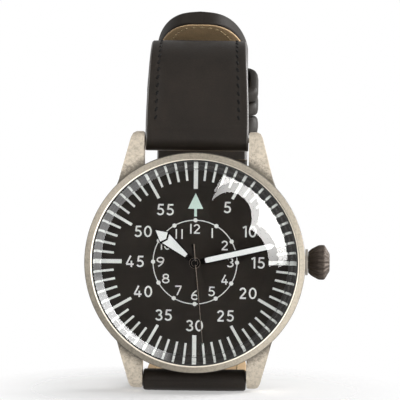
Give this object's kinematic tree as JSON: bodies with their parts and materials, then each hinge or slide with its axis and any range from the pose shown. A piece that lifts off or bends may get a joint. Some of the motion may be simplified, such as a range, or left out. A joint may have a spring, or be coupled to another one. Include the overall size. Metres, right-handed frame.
{
  "type": "military watch",
  "caption": "Pilot-style wrist watch: round steel case with domed crystal, black numbered dial, fluted crown and a buckled black leather strap.",
  "frame": {"origin": "centre of the case back's outer face, on the axis of the hands", "axes": "-Y is the way the dial faces, +Z points to 12 o'clock, +X points to the crown at 3 o'clock"},
  "size_m": [0.0467, 0.0611, 0.073],
  "materials": {
    "case_steel": "matte stone-washed steel with dark specks",
    "bezel_steel": "satin steel",
    "back_steel": "brushed",
    "tube_steel": "turned",
    "buckle_steel": "matte stone-washed steel",
    "crown_bronze": "dark bronze plating",
    "crystal": "polished, clear",
    "seal_rubber": "matte",
    "chapter_grey": "matte dark grey",
    "dial_black": "matte brownish black",
    "hand_black": "satin black",
    "lume_white": "matte luminous paint",
    "movement_brass": "stamped brass",
    "holder_plastic": "moulded",
    "board_green": "lacquered",
    "coil_copper": "enamelled copper wire",
    "strap_leather": "smooth black calf leather",
    "lining_leather": "tan lining leather",
    "keeper_leather": "smooth black calf leather"
  },
  "bodies": {
    "case": {"mid_case": "case_steel", "bezel": "bezel_steel", "crystal": "crystal", "crystal_gasket": "seal_rubber", "chapter_ring": "chapter_grey", "dial": "dial_black", "case_back": "back_steel", "back_gasket": "seal_rubber", "crown_tube": "tube_steel", "main_plate": "movement_brass", "train_bridge": "movement_brass", "holder_ring": "holder_plastic", "battery": "back_steel", "circuit_board": "board_green", "coil": "coil_copper", "stator": "tube_steel", "spring_bar_upper": "tube_steel", "spring_bar_lower": "tube_steel", "spring_bar_buckle": "tube_steel", "strap_short": "strap_leather", "lining_short": "lining_leather", "strap_long": "strap_leather", "lining_long": "lining_leather", "keeper_middle": "keeper_leather", "keeper_fixed": "keeper_leather"},
    "setting": {"setting_lever": "tube_steel"},
    "crown": {"crown": "crown_bronze", "crown_gasket": "seal_rubber", "stem": "tube_steel", "setting_pinion": "movement_brass"},
    "hour": {"hour_hand": "hand_black", "hour_hand_lume": "lume_white", "hour_wheel": "movement_brass"},
    "minute": {"minute_hand": "hand_black", "minute_hand_lume": "lume_white", "cannon_pinion": "tube_steel"},
    "motion": {"minute_wheel": "movement_brass"},
    "second": {"second_hand": "hand_black", "fourth_wheel": "movement_brass"},
    "third": {"third_wheel": "movement_brass"},
    "centre": {"centre_wheel": "movement_brass"},
    "step": {"step_wheel": "movement_brass"},
    "rotor": {"rotor": "tube_steel"},
    "keeper": {"keeper_sliding": "keeper_leather"},
    "buckle": {"buckle_frame": "buckle_steel"},
    "tongue": {"buckle_tongue": "buckle_steel"}
  },
  "joints": [
    {"name": "crown_pull", "type": "slide", "parent": "case", "child": "setting", "axis": [1, 0, 0], "range_m": [0, 0.0012]},
    {"name": "crown_turn", "type": "hinge", "parent": "setting", "child": "crown", "pos_m": [0.0236, -0.00415, 0], "axis": [1, 0, 0], "continuous": true},
    {"name": "minute_turn", "type": "hinge", "parent": "case", "child": "minute", "pos_m": [0, -0.0087, 0], "axis": [0, 1, 0], "continuous": true},
    {"name": "hour_turn", "type": "hinge", "parent": "case", "child": "hour", "pos_m": [0, -0.0081, 0], "axis": [0, 1, 0], "continuous": true},
    {"name": "minute_wheel_turn", "type": "hinge", "parent": "case", "child": "motion", "pos_m": [-0.0026, -0.0058, 0.0015], "axis": [0, 1, 0], "continuous": true},
    {"name": "second_turn", "type": "hinge", "parent": "case", "child": "second", "pos_m": [0, -0.0093, 0], "axis": [0, 1, 0], "continuous": true},
    {"name": "third_wheel_turn", "type": "hinge", "parent": "case", "child": "third", "pos_m": [0.0018, -0.004, 0.00312], "axis": [0, 1, 0], "continuous": true},
    {"name": "centre_wheel_turn", "type": "hinge", "parent": "case", "child": "centre", "pos_m": [0, -0.0047, 0], "axis": [0, 1, 0], "continuous": true},
    {"name": "step_wheel_turn", "type": "hinge", "parent": "case", "child": "step", "pos_m": [0.00326, -0.004, -0.00152], "axis": [0, 1, 0], "continuous": true},
    {"name": "rotor_turn", "type": "hinge", "parent": "case", "child": "rotor", "pos_m": [0.00412, -0.004, -0.00389], "axis": [0, 1, 0], "continuous": true},
    {"name": "keeper_slide", "type": "hinge", "parent": "case", "child": "keeper", "pos_m": [0, 0.0276, 0.0255], "axis": [1, 0, 0], "range_deg": [0, 22]},
    {"name": "buckle_swing", "type": "hinge", "parent": "case", "child": "buckle", "pos_m": [0, 0.0403, 0.015], "axis": [1, 0, 0], "range_deg": [0, 10]},
    {"name": "tongue_lift", "type": "hinge", "parent": "buckle", "child": "tongue", "pos_m": [0, 0.0403, 0.015], "axis": [1, 0, 0], "range_deg": [0, 10]}
  ],
  "couplings": [
    {"joint": "hour_turn", "follows": "minute_turn", "ratio": 0.083333},
    {"joint": "minute_wheel_turn", "follows": "minute_turn", "ratio": -0.33333},
    {"joint": "third_wheel_turn", "follows": "second_turn", "ratio": -0.125},
    {"joint": "centre_wheel_turn", "follows": "second_turn", "ratio": 0.016667},
    {"joint": "step_wheel_turn", "follows": "second_turn", "ratio": -5},
    {"joint": "rotor_turn", "follows": "second_turn", "ratio": 30}
  ]
}
